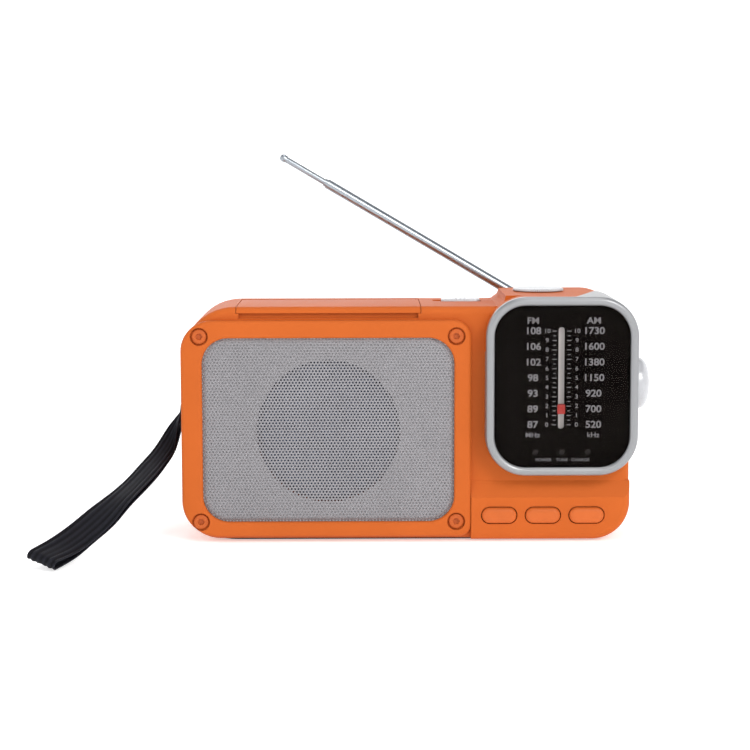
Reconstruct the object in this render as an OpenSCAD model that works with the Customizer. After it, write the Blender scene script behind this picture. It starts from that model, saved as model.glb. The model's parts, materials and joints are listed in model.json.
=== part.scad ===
/* [Housing] */
// Width of the housing
body_w = 155; // [154.5:0.1:155.5]
// Depth of the rear face behind the origin
rear_y = 24; // [23.8:0.1:24.5]
// Height of the main top face
top_z = 81.5; // [81.3:0.1:81.8]
// Gap under the housing, the height that the rubber ring stands proud
foot_h = 0.6; // [0.4:0.1:0.8]
// Wall thickness of both shells
wall = 2.2; // [2:0.1:2.4]
// Radius of the rounded front edge
front_edge = 2.6; // [2:0.1:3]
// Radius of the rounded rear edge
rear_edge = 4; // [3:0.1:4.5]
// Parting plane between the front and rear shells
split_y = 12.5; // [12.4:0.1:12.6]

/* [Grille] */
// Radius of the round opening behind the grille
speaker_r = 24.8; // [24:0.1:25]
// Thickness of the perforated sheet
mesh_t = 0.5; // [0.4:0.1:0.6]

/* [Dial] */
// Width of the silver dial case
case_w = 52.2; // [52:0.1:52.4]
// Height of the silver dial case
case_h = 61.4; // [61.2:0.1:61.5]
// Corner radius of the silver dial case
case_r = 13.7; // [13:0.1:14]
// Width of the bright ring round the glass
ring_w = 2.9; // [2.7:0.1:3]
// Radius of the tuning knob
tune_r = 9; // [8.5:0.1:9.2]
// Pitch radius of the tuning drum
drum_r = 6; // [5.9:0.05:6.1]

/* [Buttons] */
// Length of an oval button
button_w = 12; // [11.5:0.1:12.2]
// Height of an oval button
button_h = 5.5; // [5.2:0.1:5.7]
// Spacing of the buttons
button_pitch = 15.1; // [15:0.1:15.2]

/* [Antenna] */
// Angle of the whip above the horizontal as stored
whip_angle = 30.5; // [28:0.5:33]
// Outer radius of the thickest tube
whip_r = 1.75; // [1.7:0.01:1.8]
// Length from the pivot to the mouth of the thickest tube
whip_len = 85.5; // [84:0.5:87]
// How far the tip rod stands out of the thickest tube
tip_out = 18.5; // [17:0.5:20]

/* [Crank] */
// Radius of the round dish that holds the crank
dish_r = 27; // [26.8:0.1:27.2]
// Teeth of the crank gear
crank_teeth = 36; // [36:1:36]

/* [Wrist strap] */
// Width of the webbing
strap_w = 11; // [10.5:0.1:11]
// Thickness of the folded webbing
strap_t = 2.8; // [2.4:0.1:2.8]

/* [Hidden] */
$fn = 64;

half_w = body_w / 2;
face_y = -20.5;
frame_y = -24;
gap = 0.3;
shaft_fit = 0.05;
top_left_r = 18.5;
bottom_r = 13;

case_x0 = 27.2;
case_z0 = 23.8;
case_x1 = case_x0 + case_w;
case_z1 = case_z0 + case_h;
fillet_x = 30.6;
ring_y = -28.5;
glass_y = -27.4;
plate_face_y = -25.2;
sleeve_end_y = -12;
cheek_end_y = 6;
slot_x = 53.15;
slot_half = 1.05;
slot_z0 = 39.7;
slot_z1 = 74.7;
pointer_z = 46.5;

tune_y = -10;
tune_z = 53.8;
shaft_r = 3;
pulley_y = -16;
pulley_zs = [36.5, 79];
cord_x = 62;
cord_r = 0.3;
pulley_r = 2;

button_xs = [for (i = [0:2]) 32.2 + i * button_pitch];
button_z = 9.3;
panel_y = -23.5;
panel_z = 15.5;
slope_top = 21;

volume_x = 47.3;
volume_y = 2;
band_x0 = 13.1;
band_x1 = 26.9;

lid_x0 = -58.5;
lid_x1 = 5.3;
hinge_y = 14;
hinge_z = top_z - 2.9;
lid_z = 79.3;
shelf_z = 77.3;
lid_relief = 3.3;

speaker_x = -26.8;
speaker_z = 38.6;
grille_x0 = -70.1;
grille_x1 = 16.6;
grille_z0 = 7.2;
grille_z1 = 71;
frame_x1 = 22.5;
frame_screw_xs = [-70.9, 17.3];
frame_screw_zs = [7.3, 71.6];
case_posts = [[-70.5, 9.5], [-66, 64], [71.5, 8], [20, 66]];

whip_x = 46;
whip_y = 22;
whip_z = 79.5;
channel_y = 19.2;

dish_x = -30;
dish_z = 44;
dish_floor_y = 15;
gear_module = 1;
fine_module = 0.8;
pinion_teeth = 10;
idler_teeth = 32;
train_angle = 20;
crank_mesh = gear_module * (crank_teeth + pinion_teeth) / 2;
dynamo_mesh = fine_module * (idler_teeth + pinion_teeth) / 2;
idler_x = dish_x + crank_mesh * cos(train_angle);
idler_z = dish_z + crank_mesh * sin(train_angle);
dynamo_x = idler_x + dynamo_mesh * cos(train_angle);
dynamo_z = idler_z + dynamo_mesh * sin(train_angle);
axle_r = 1.5;
backlash = 0.05;

battery_y = 2.5;
battery_z = 12.2;
jack_y = 6;
usb_y = -6;
port_z = 22;
bar_x = -75;
bar_z = 45.5;
strap_y = 3.2;

orange = "darkorange";
silver = "silver";

// upper and lower edge of the wrist strap at each station
strap_upper = [[-77.6, 8.6, 46], [-79.6, 6.5, 41.5], [-84.6, -0.2, 36], [-88.5, -8, 30], [-92.4, -16, 25.7],
    [-96.2, -24, 21.8], [-100.4, -32, 18.6], [-106.7, -41.4, 14.8], [-113, -51.4, 10.6],
    [-118.4, -59.8, 7.4], [-122.8, -66.4, 5.2]];
strap_lower = [[-77.6, -2.2, 45.2], [-79.6, -3.2, 38.5], [-81.2, -7.8, 30], [-83.8, -16, 26], [-86.2, -24, 23.3],
    [-89.5, -32, 20.2], [-93.4, -40, 16.6], [-98, -47, 11.3], [-103.7, -53, 6.6],
    [-108.4, -61, 3.6], [-113.7, -69.6, 2]];
strap_steps = 5;

// shared shapes

// extrudes an outline drawn in x and z from y0 to y1
module slab(y0, y1) {
    translate([0, y1, 0]) rotate([90, 0, 0]) linear_extrude(y1 - y0) children();
}

module block(x0, x1, y0, y1, z0, z1) {
    translate([x0, y0, z0]) cube([x1 - x0, y1 - y0, z1 - z0]);
}

module rod_x(x0, x1, y, z, r) {
    translate([x0, y, z]) rotate([0, 90, 0]) cylinder(r = r, h = x1 - x0);
}

module rod_y(y0, y1, x, z, r) {
    translate([x, y1, z]) rotate([90, 0, 0]) cylinder(r = r, h = y1 - y0);
}

module rod_z(z0, z1, x, y, r) {
    translate([x, y, z0]) cylinder(r = r, h = z1 - z0);
}

module round_rect(x0, z0, x1, z1, r) {
    translate([x0 + r, z0]) square([x1 - x0 - 2 * r, z1 - z0]);
    translate([x0, z0 + r]) square([x1 - x0, z1 - z0 - 2 * r]);
    for (x = [x0 + r, x1 - r], z = [z0 + r, z1 - r]) translate([x, z]) circle(r);
}

module case_outline(inset) {
    round_rect(case_x0 + inset, case_z0 + inset, case_x1 - inset, case_z1 - inset, case_r - inset);
}

module capsule(x, z, w, h) {
    round_rect(x - w / 2, z - h / 2, x + w / 2, z + h / 2, h / 2 - 0.01);
}

// the right-hand part of the dial case whose wall is bare from the ring to the parting of the cheek
module cheek_zone(grow) {
    translate([0, 0, 71]) linear_extrude(20)
        polygon([[56.5 - grow, -30], [90, -30], [90, cheek_end_y + grow], [68.5 - grow, cheek_end_y + grow]]);
    block(72 - grow, 90, -30, cheek_end_y + grow, 10, 71);
}

// one round corner of the housing, with its front or rear edge rounded over
module puck(x, z, r, y0, y1, edge0, edge1) {
    translate([x, y1, z]) rotate([90, 0, 0]) rotate_extrude($fn = 56) {
        h = y1 - y0;
        square([r - max(edge0, edge1), h]);
        translate([0, edge1]) square([r, h - edge0 - edge1]);
        if (edge0 > 0) translate([r - edge0, h - edge0]) circle(edge0, $fn = 28);
        if (edge1 > 0) translate([r - edge1, edge1]) circle(edge1, $fn = 28);
    }
}

module body_hull(y0, y1, edge0, edge1) {
    hull() {
        puck(-half_w + bottom_r, foot_h + bottom_r, bottom_r, y0, y1, edge0, edge1);
        puck(half_w - bottom_r, foot_h + bottom_r, bottom_r, y0, y1, edge0, edge1);
        puck(-half_w + top_left_r, top_z - top_left_r, top_left_r, y0, y1, edge0, edge1);
        puck(half_w - case_r, top_z - case_r, case_r, y0, y1, edge0, edge1);
    }
}

// the raised block behind the dial case
module block_hull(y0, y1, edge0, edge1) {
    hull() {
        puck(case_x0 + case_r, case_z1 - case_r, case_r, y0, y1, edge0, edge1);
        puck(half_w - 0.2 - case_r, case_z1 - case_r, case_r, y0, y1, edge0, edge1);
        puck(half_w - 0.2 - case_r, 45, case_r, y0, y1, edge0, edge1);
        puck(case_x0 + case_r, 45, case_r, y0, y1, edge0, edge1);
    }
}

// concave blend between the main top and the raised block
module block_fillet(y0, y1) {
    r = case_z1 - top_z;
    difference() {
        block(fillet_x, case_x0 + case_r, y0, y1, top_z - 2, case_z1);
        rod_y(y0 - 1, y1 + 1, fillet_x, case_z1, r);
    }
}

module case_room(y0, y1) {
    slab(y0, y1) case_outline(1.75);
    intersection() {
        slab(face_y - 8, cheek_end_y + 0.1) case_outline(-0.1);
        cheek_zone(0.1);
    }
}

module lid_room() {
    block(lid_x0, lid_x1, -30, hinge_y, lid_z - 0.1, 90);
    block(lid_x0, lid_x1, -17.5, hinge_y, shelf_z, 90);
    block(lid_x0 + 1, lid_x1 - 1, -30, -19, shelf_z + gap, 90);
    block(lid_x0, lid_x1, hinge_y - 1, hinge_y + lid_relief, hinge_z, 90);
    rod_x(lid_x0, lid_x1, hinge_y, hinge_z, lid_relief);
}

module lid_walls() {
    block(lid_x0 - wall, lid_x1 + wall, -30, hinge_y + lid_relief + wall, shelf_z - wall, 90);
}

// the flat rubber ring that the radio stands on, and its seat in the base
module foot_outline(grow) {
    difference() {
        round_rect(-66 - grow, -17 - grow, 66 + grow, 19.5 + grow, 8 + grow);
        round_rect(-62 + grow, -13 + grow, 62 - grow, 15.5 - grow, 4 - grow);
    }
}

module foot_seat() {
    translate([0, 0, -1]) linear_extrude(foot_h + 1.8) foot_outline(shaft_fit);
}

module strap_pocket() {
    block(-80, -71.5, -3.5, 9.5, 38.5, 50);
}

// gear tooth flanks of a 25 degree involute
function inv_angle(t) = t * 180 / PI - atan(t);
function flank(rb, r) = inv_angle(sqrt(max(pow(r / rb, 2) - 1, 0)));

module gear_outline(teeth, m, add, ded) {
    r = m * teeth / 2;
    rb = r * cos(25);
    r_in = r - ded * m;
    r_low = max(rb, r_in);
    r_out = r + add * m;
    half = 90 / teeth - backlash * m / r * 180 / PI + flank(rb, r);
    rising = [for (i = [0:3]) let (q = r_low + (r_out - r_low) * i / 3) [q, half - flank(rb, q)]];
    tooth = concat([[r_in, -rising[0][1]]], [for (p = rising) [p[0], -p[1]]],
        [for (i = [3:-1:0]) rising[i]], [[r_in, rising[0][1]]]);
    polygon([for (k = [0:teeth - 1]) for (p = tooth)
        p[0] * [cos(p[1] + k * 360 / teeth), sin(p[1] + k * 360 / teeth)]]);
}

// housing

module front_shell() {
    color(orange) difference() {
        union() {
            body_hull(face_y, split_y, front_edge, 0);
            intersection() {
                block_hull(-25.3, split_y, 0.8, 0);
                union() {
                    block(20, 90, face_y, 20, 40, 90);
                    block(20, 90, -30, 20, 66, 90);
                }
            }
            block_fillet(-19.5, split_y);
            button_panel();
        }
        difference() {
            shell_cavity();
            lid_walls();
            for (p = case_posts) rod_y(-19, 20, p[0], p[1], 3.2);
            block(-77, -69, -6, 12, 36, 52.5);
            rod_z(0, 6, 30.5, 2, 2.6);
        }
        case_room(-30, sleeve_end_y + 0.3);
        slab(-21.3, -18) round_rect(23.6, 3.4, 70.5, 14.7, 3);
        for (x = button_xs) slab(-30, -20) capsule(x, button_z, button_w + 2 * gap, button_h + 2 * gap);
        rod_y(-30, -18, speaker_x, speaker_z, speaker_r);
        for (p = case_posts) rod_y(-2, 20, p[0], p[1], 1.25);
        for (x = frame_screw_xs, z = frame_screw_zs) rod_y(-30, -17, x, z, 1.2);
        lid_room();
        block(-46, -8, -12, -4, 70, 90);
        rod_z(80, 90, volume_x, volume_y, 2.8);
        block(band_x0 - 3, band_x1 + gap, 2.7, 11.3, top_z - 0.4, 90);
        block(14.8, 22.5, 5.6, 8.4, 70, 90);
        battery_hatch();
        strap_pocket();
        rod_y(-5.5, 11.5, bar_x, bar_z, 1);
        rod_x(-90, -70, jack_y, port_z, 3.45);
        block(-80, -76.1, -12.3, 0.3, 18.2, 25.8);
        block(-80, -70, usb_y - 4.6, usb_y + 4.6, 20.2, 23.8);
        foot_seat();
    }
}

module shell_cavity() {
    slab(face_y + wall, 20) {
        round_rect(-half_w + wall, foot_h + wall, half_w - wall, 70, bottom_r - wall);
        round_rect(-half_w + wall, 30, half_w - wall, top_z - wall, 14);
        round_rect(case_x0 + wall, 30, half_w - 0.2 - wall, case_z1 - wall, case_r - wall);
    }
}

// the raised panel round the buttons, with a sloping step down to the face above it
module button_panel() {
    intersection() {
        body_hull(panel_y, face_y + 1, front_edge, 0);
        rotate([90, 0, 90]) translate([0, 0, frame_x1]) linear_extrude(60)
            polygon([[panel_y - 1, 0], [panel_y, panel_z], [face_y, slope_top], [face_y + 1, slope_top],
                [face_y + 1, 0]]);
    }
}

module battery_hatch() {
    block(-38, 26, -6, 10, -1, 4);
    block(-40, 28, -8, 12, -1, 1.8);
    block(27, 33.2, -1.2, 5.2, -1, 1.8);
    rod_z(1, 5, 30.5, 2, 0.9);
}

module rear_shell() {
    color(orange) difference() {
        union() {
            body_hull(split_y, rear_y, 0, rear_edge);
            block_hull(split_y, rear_y, 0, rear_edge);
            block_fillet(split_y, rear_y - rear_edge);
        }
        difference() {
            intersection() {
                translate([0, 30, 0]) shell_cavity();
                block(-90, 90, split_y - 1, 21.8, -10, 90);
            }
            lid_walls();
            block(-90, 90, channel_y - 2, 30, 73, 90);
            rod_y(13, 30, dish_x, dish_z, dish_r + 2);
            for (p = case_posts) rod_y(10, 30, p[0], p[1], 4);
            rod_y(10, 30, whip_x, whip_z, 8);
        }
        intersection() {
            block(-90, 90, split_y - 1, 13, -10, 90);
            rod_y(10, 13, dish_x, dish_z, dish_r + 2);
        }
        lid_room();
        rod_y(dish_floor_y, 30, dish_x, dish_z, dish_r);
        rod_y(10, 20, dish_x, dish_z, 2.5 + shaft_fit);
        for (p = case_posts) {
            rod_y(10, 20, p[0], p[1], 1.35);
            rod_y(16, 30, p[0], p[1], 2.6);
        }
        block(-64, 50, channel_y, 30, 76.5, 90);
        rod_y(channel_y, 30, whip_x, whip_z, 5);
        block(whip_x, 52, channel_y, 30, whip_z, 90);
        rod_y(10, 30, whip_x, whip_z, 2 + shaft_fit);
        rod_x(lid_x0 - 2, lid_x1 + 2, hinge_y, hinge_z, 1);
        foot_seat();
        for (i = [0:5]) block(34, 60, 20, 30, 22 + i * 5, 23.6 + i * 5);
    }
}

module grille_frame() {
    color(orange) difference() {
        slab(frame_y, face_y) difference() {
            union() {
                round_rect(-half_w + 0.1, 2, -20, 60, bottom_r - 0.5);
                round_rect(-half_w + 0.1, 30, -20, 77, 10.5);
                round_rect(-50, 2, frame_x1 - 0.1, 60, 4);
                round_rect(-50, 30, frame_x1 - 0.1, 77, 6);
            }
            round_rect(grille_x0, grille_z0, grille_x1, grille_z1, 9);
        }
        slab(-22.2, face_y + 1) round_rect(grille_x0 - 2.4, grille_z0 - 2.4, grille_x1 + 2.4, grille_z1 + 2.4, 10);
        for (x = frame_screw_xs, z = frame_screw_zs) {
            rod_y(-30, -18, x, z, 1.25);
            rod_y(-30, -22.6, x, z, 3.1);
        }
    }
}

module speaker_grille() {
    color("gray") slab(-22.2, -22.2 + mesh_t)
        round_rect(grille_x0 - 2.3, grille_z0 - 2.3, grille_x1 + 2.3, grille_z1 + 2.3, 9.9);
}

module grille_backing() {
    color("dimgray") difference() {
        slab(-21.6, -20.6) round_rect(grille_x0 - 2.3, grille_z0 - 2.3, grille_x1 + 2.3, grille_z1 + 2.3, 9.9);
        rod_y(-30, -18, speaker_x, speaker_z, speaker_r);
        for (x = frame_screw_xs, z = frame_screw_zs) rod_y(-30, -18, x, z, 2.2);
    }
}

module frame_screws() {
    color(orange) for (x = frame_screw_xs, z = frame_screw_zs) difference() {
        union() {
            rod_y(-23.6, -22.6, x, z, 2.6);
            rod_y(-22.6, -17.2, x, z, 1.2);
        }
        translate([x, -23, z]) rotate([90, 0, 0]) cylinder(r = 1.1, h = 2, $fn = 6);
    }
}

module foot_ring() {
    color("dimgray") linear_extrude(foot_h + 0.8) foot_outline(0);
}

module case_screws() {
    color("dimgray") for (p = case_posts) difference() {
        union() {
            rod_y(0, 16, p[0], p[1], 1.25);
            rod_y(16, 18, p[0], p[1], 2.4);
        }
        translate([p[0], 19, p[1]]) rotate([90, 0, 0]) cylinder(r = 1.2, h = 2, $fn = 6);
    }
}

// loudspeaker

module turned(y) {
    translate([speaker_x, y, speaker_z]) rotate([-90, 0, 0]) rotate_extrude() children();
}

module speaker_basket() {
    color("slategray") turned(0)
        polygon([[25.2, -18.3], [28.8, -18.3], [28.8, -16.8], [27.6, -16.8], [16, -7], [8, -7], [8, -8], [15.4, -8],
            [25.2, -16.4]]);
}

module speaker_cone() {
    color("darkslategray") turned(0)
        polygon([[0, -13.6], [3, -13.2], [6, -12], [7.6, -10.4], [20.5, -16.6], [22, -17.9], [23.2, -18.2],
            [24.6, -17.2], [25.1, -17.2], [25.1, -16.8], [24.3, -16.8], [23.2, -17.8], [22.2, -17.5], [20.8, -16.1],
            [7.6, -9.8], [6.9, -9.6], [6, -11.4], [3, -12.7], [0, -13.1]]);
}

module voice_coil() {
    color("peru") turned(0) translate([6.3, -9.6]) square([0.5, 7.1]);
}

module speaker_magnet() {
    color("dimgray") turned(0) {
        polygon([[7.2, -7], [16, -7], [16, 3], [0, 3], [0, 1], [7.2, 1]]);
        translate([0, -8]) square([5.9, 9.1]);
    }
}

// dial

module dial_case() {
    color(silver) difference() {
        union() {
            slab(ring_y, glass_y) difference() {
                case_outline(0);
                case_outline(ring_w);
            }
            slab(glass_y, -25.4) difference() {
                case_outline(0);
                case_outline(2.4);
            }
            difference() {
                slab(-25.4, face_y) difference() {
                    case_outline(0);
                    case_outline(2.4);
                }
                difference() {
                    block(20, 90, -25.4, face_y + 1, 65.9, 90);
                    slab(-30, 0) case_outline(1.85);
                    cheek_zone(0);
                }
            }
            slab(face_y, sleeve_end_y) difference() {
                case_outline(1.85);
                case_outline(3.6);
            }
            intersection() {
                slab(face_y, cheek_end_y) difference() {
                    case_outline(0);
                    case_outline(2.4);
                }
                cheek_zone(0);
            }
        }
        rod_x(70, 90, tune_y, tune_z, shaft_r + shaft_fit);
    }
}

module dial_glass() {
    color("black") slab(glass_y, -26) case_outline(2.45);
}

module dial_plate() {
    color("black") difference() {
        slab(plate_face_y, -24.4) case_outline(2.45);
        slab(-30, -20) round_rect(slot_x - slot_half, slot_z0, slot_x + slot_half, slot_z1, 1);
        for (i = [-1:1]) rod_y(-30, -20, 53.5 + 9 * i, 31.5, 1);
    }
}

module light_guide() {
    color("white") block(slot_x - 3.4, slot_x + 2.8, -22.6, -21.4, 37, 78);
}

module indicator_leds() {
    color("lightgray") for (i = [-1:1]) rod_y(plate_face_y, -21, 53.5 + 9 * i, 31.5, 0.9);
}

module indicator_board() {
    color("darkgreen") block(40, 67, -21, -20, 29, 34);
}

// the flag in front of the plate, its stem through the slot, and the arm to the carriage
module pointer() {
    stem = slot_half - gap;
    color("red") {
        block(slot_x - 1.3, slot_x + 1.3, -25.75, -25.35, pointer_z - 1.6, pointer_z + 1.6);
        block(slot_x - stem, slot_x + stem, -25.35, -24, pointer_z - 1.2, pointer_z + 1.2);
        block(slot_x - stem, 58, -24, -23, pointer_z - 1.6, pointer_z + 1.6);
    }
}

module pointer_carriage() {
    color("ivory") difference() {
        union() {
            block(56.5, 58, -23, -16.9, pointer_z - 1.9, pointer_z + 1.9);
            block(58, 64, -19.3, -16.9, pointer_z - 1.9, pointer_z + 1.9);
        }
        rod_z(0, 90, cord_x, pulley_y - pulley_r - 0.1, cord_r + gap);
    }
}

module dial_cord() {
    front = pulley_y - pulley_r - 0.1;
    rear = pulley_y + pulley_r + 0.1;
    color("ivory") {
        rod_z(pulley_zs[0], pulley_zs[1], cord_x, front, cord_r);
        cord_run([cord_x + 0.6, tune_y - drum_r, tune_z + 1], [cord_x, rear, pulley_zs[1]]);
        cord_run([cord_x - 0.6, tune_y - drum_r, tune_z - 1], [cord_x, rear, pulley_zs[0]]);
    }
}

module cord_run(a, b) {
    d = b - a;
    l = norm(d);
    translate(a) rotate([0, acos(d[2] / l), atan2(d[1], d[0])]) cylinder(r = cord_r, h = l);
}

module pulley_bracket() {
    color("gainsboro") difference() {
        union() {
            block(66, 67, -19, 6.5, 32, 80);
            for (z = pulley_zs) rod_x(60.5, 66, pulley_y, z, 0.8);
        }
        rod_x(60, 70, tune_y, tune_z, 3.6);
    }
}

module pulley(z) {
    color("white") translate([cord_x, pulley_y, z]) rotate([0, 90, 0]) rotate_extrude()
        polygon([[0.8 + shaft_fit, -0.9], [2.3, -0.9], [1.75, -0.3], [1.75, 0.3], [2.3, 0.9], [0.8 + shaft_fit, 0.9]]);
}

module tuning_shaft() {
    color("gainsboro") {
        rod_x(46.3, 84, tune_y, tune_z, shaft_r);
        translate([cord_x, tune_y, tune_z]) rotate([0, 90, 0]) rotate_extrude()
            polygon([[0, -2], [6.5, -2], [6.5, -1.5], [5.65, -1.2], [5.65, 1.2], [6.5, 1.5], [6.5, 2], [0, 2]]);
    }
}

module tuning_knob() {
    color(silver) difference() {
        translate([0, tune_y, tune_z]) rotate([0, 90, 0]) rotate_extrude()
            polygon([[0, case_x1 + gap], [tune_r, case_x1 + gap], [tune_r, 82.3], [8.6, 83.1], [7.6, 83.8], [6, 84.4],
                [4, 84.8], [2, 85.05], [0, 85.1]]);
        rod_x(79, 84, tune_y, tune_z, shaft_r);
    }
}

module tuning_capacitor() {
    color("lightsteelblue") difference() {
        block(36, 52, -18, 6.5, 46, 62);
        rod_x(46, 60, tune_y, tune_z, shaft_r + shaft_fit);
    }
}

// electronics

module main_board() {
    color("darkgreen") block(36, 72, 6.5, 8.1, 24, 78);
}

module board_parts() {
    color("black") {
        block(40, 50, 4.9, 6.5, 28, 38);
        block(56, 62, 5.1, 6.5, 30, 40);
        block(54, 64, 4.5, 6.5, 66, 74);
        for (i = [0:3]) rod_y(-1, 6.5, 39.5 + 7.4 * i, 42.2, 2.4);
    }
}

module key_board() {
    color("darkgreen") block(24.5, 66, -13.4, -11.8, 3.8, 15);
}

module key_switches() {
    color("gray") for (x = button_xs) {
        block(x - 3, x + 3, -16.4, -13.4, button_z - 3, button_z + 3);
        rod_y(-16.6, -16.4, x, button_z, 1.4);
    }
}

module button(x) {
    color(orange) {
        slab(-24.7, -21) capsule(x, button_z, button_w, button_h);
        slab(-21, -20) capsule(x, button_z, button_w + 1.8, button_h + 2.4);
        rod_y(-20, -17.5, x, button_z, 1.5);
    }
}

module volume_knob() {
    color(silver) {
        rod_z(case_z1 + 0.2, case_z1 + 0.9, volume_x, volume_y, 8.8);
        rod_z(case_z1 + 0.9, case_z1 + 1.2, volume_x, volume_y, 8.4);
        rod_z(78.7, case_z1 + 0.2, volume_x, volume_y, 2.5);
    }
}

module volume_pot() {
    color("dimgray") difference() {
        block(41.3, 53.3, -4, 6.5, 71, 79);
        rod_z(78, 90, volume_x, volume_y, 2.5 + shaft_fit);
    }
}

module band_slider() {
    color(silver) {
        block(band_x0, band_x1, 3, 11, top_z - 0.2, top_z + 0.8);
        block(18, 22, 6, 8, 76, top_z - 0.2);
    }
}

module band_switch() {
    color("dimgray") block(12, 27, 3.5, 10.5, 71, 75.7);
}

module battery() {
    color("mediumpurple") {
        rod_x(-39, 25.4, battery_y, battery_z, 9.1);
        rod_x(25.4, 26, battery_y, battery_z, 3);
    }
}

module battery_door() {
    color(orange) difference() {
        union() {
            block(-39.8, 27.8, -7.8, 11.8, foot_h + 0.05, 1.7);
            block(27, 33, -1, 5, foot_h + 0.05, 1.7);
        }
        rod_z(0, 5, 30.5, 2, 1);
    }
}

module earphone_jack() {
    color("black") difference() {
        rod_x(-half_w, -62.5, jack_y, port_z, 3.4);
        rod_x(-half_w - 1, -64, jack_y, port_z, 1.8);
    }
}

module port_cover() {
    color("darkslategray") block(-half_w + 0.05, -76.4, -12, 0, 18.5, 25.5);
}

// lid and reading lamp

module lid() {
    color(orange) difference() {
        union() {
            intersection() {
                body_hull(face_y, split_y + 10, front_edge, 0);
                block(lid_x0 + 0.2, lid_x1 - 0.2, -30, hinge_y, lid_z, 90);
            }
            rod_x(lid_x0 + 0.2, lid_x1 - 0.2, hinge_y, hinge_z, 2.9);
        }
        rod_x(-90, 90, hinge_y, hinge_z, 1 + shaft_fit);
    }
}

module lid_pin() {
    color("gainsboro") rod_x(lid_x0 - 2, lid_x1 + 2, hinge_y, hinge_z, 1);
}

module solar_panel() {
    color("midnightblue") block(-54, 1, -15, 8, lid_z - 1.2, lid_z);
}

module lamp_lens() {
    color("white") block(-46, -8, -12, -4, 75.1, shelf_z);
}

module lamp_board() {
    color("white") {
        block(-46, -8, -12, -4, 72.5, 73.6);
        for (i = [0:3]) block(-41 + i * 9, -37 + i * 9, -10, -6, 73.6, 74.6);
    }
}

// telescopic antenna

// local frame at the pivot: the whip runs along -X
module at_whip() {
    translate([whip_x, whip_y, whip_z]) rotate([0, whip_angle, 0]) children();
}

module antenna_base() {
    color("gainsboro") {
        rod_y(13.2, channel_y + 0.5, whip_x, whip_z, 2);
        at_whip() {
            rod_y(channel_y + 0.2 - whip_y, -2, 0, 0, 4);
            for (s = [-1, 1]) translate([0, 0, s * 1.65 - 0.5]) {
                cylinder(r = 1.9, h = 1);
                translate([-1.9, -2.2, 0]) cube([3.8, 2.2, 1]);
            }
            translate([0, 0, -2.1]) cylinder(r = 0.6, h = 4.2);
        }
    }
}

module antenna_tube() {
    color("gainsboro") at_whip() difference() {
        union() {
            translate([0, 0, -1]) cylinder(r = 1.5, h = 2);
            translate([-6, -1.5, -1]) cube([6, 3, 2]);
            rod_x(-whip_len, -5, 0, 0, whip_r);
        }
        translate([0, 0, -5]) cylinder(r = 0.6 + shaft_fit, h = 10);
        rod_x(-whip_len - 1, -8, 0, 0, 1.45);
    }
}

module antenna_middle() {
    color("gainsboro") at_whip() difference() {
        rod_x(-whip_len - 1, -12, 0, 0, 1.4);
        rod_x(-whip_len - 2, -14, 0, 0, 1.12);
    }
}

module antenna_tip() {
    color("gainsboro") at_whip() {
        rod_x(-whip_len - tip_out + 1.5, -34, 0, 0, 1.07);
        translate([-whip_len - tip_out, 0, 0]) rotate([0, 90, 0]) rotate_extrude()
            polygon([[0, -1], [0.8, -0.8], [1.25, -0.2], [1.35, 0.5], [1.25, 1.5], [0, 1.5]]);
    }
}

// hand crank and dynamo

module crank_arm() {
    color("dimgray") difference() {
        union() {
            slab(15.6, 18.7) {
                translate([dish_x, dish_z]) circle(8);
                translate([dish_x - 22, dish_z - 6.2]) square([22, 12.4]);
                translate([dish_x - 22, dish_z]) circle(3.6);
            }
            for (s = [-1, 1]) {
                rod_z(dish_z + s * 5.45 - 0.75, dish_z + s * 5.45 + 0.75, dish_x - 22, 21.3, 2.2);
                block(dish_x - 24.2, dish_x - 19.8, 18.6, 21.3, dish_z + s * 5.45 - 0.75, dish_z + s * 5.45 + 0.75);
            }
            rod_z(dish_z - 6, dish_z + 6, dish_x - 22, 21.3, 0.8);
        }
        rod_y(14, 17.6, dish_x, dish_z, 2.5);
    }
}

module crank_handle() {
    color("black") difference() {
        union() {
            rod_z(dish_z - 4.5, dish_z + 4.5, dish_x - 22, 21.3, 2.2);
            block(dish_x - 22, dish_x - 4, 19.1, 23.5, dish_z - 4.5, dish_z + 4.5);
        }
        rod_z(dish_z - 9, dish_z + 9, dish_x - 22, 21.3, 0.8 + shaft_fit);
    }
}

module crank_gear() {
    color("ivory") {
        rod_y(3.6, 17.6, dish_x, dish_z, 2.5);
        slab(9.5, 12.5) translate([dish_x, dish_z]) rotate(train_angle)
            gear_outline(crank_teeth, gear_module, 0.7, 1.2);
    }
}

module idler_gear() {
    color("ivory") difference() {
        union() {
            slab(8.4, 12.5) translate([idler_x, idler_z]) rotate(train_angle + 180 + 180 / pinion_teeth)
                gear_outline(pinion_teeth, gear_module, 0.9, 1);
            slab(5.5, 8.5) translate([idler_x, idler_z]) rotate(train_angle)
                gear_outline(idler_teeth, fine_module, 0.7, 1.2);
        }
        rod_y(0, 20, idler_x, idler_z, axle_r + shaft_fit);
    }
}

module gear_plate() {
    color("lightsteelblue") difference() {
        union() {
            block(-51, 16, 3.6, 4.8, 26, 69);
            for (p = [[-48, 29.5], [-47, 64], [-20, 66.5]]) rod_y(4.8, 13, p[0], p[1], 2);
            rod_y(4.8, 13, idler_x, idler_z, axle_r);
        }
        rod_y(0, 10, dish_x, dish_z, 2.5 + shaft_fit);
        rod_y(0, 10, dynamo_x, dynamo_z, 2);
    }
}

module dynamo_case() {
    color("silver") difference() {
        rod_y(-12, 3.6, dynamo_x, dynamo_z, 8.8);
        rod_y(-11, 2.6, dynamo_x, dynamo_z, 8);
        rod_y(0, 10, dynamo_x, dynamo_z, 1 + shaft_fit);
    }
}

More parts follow.
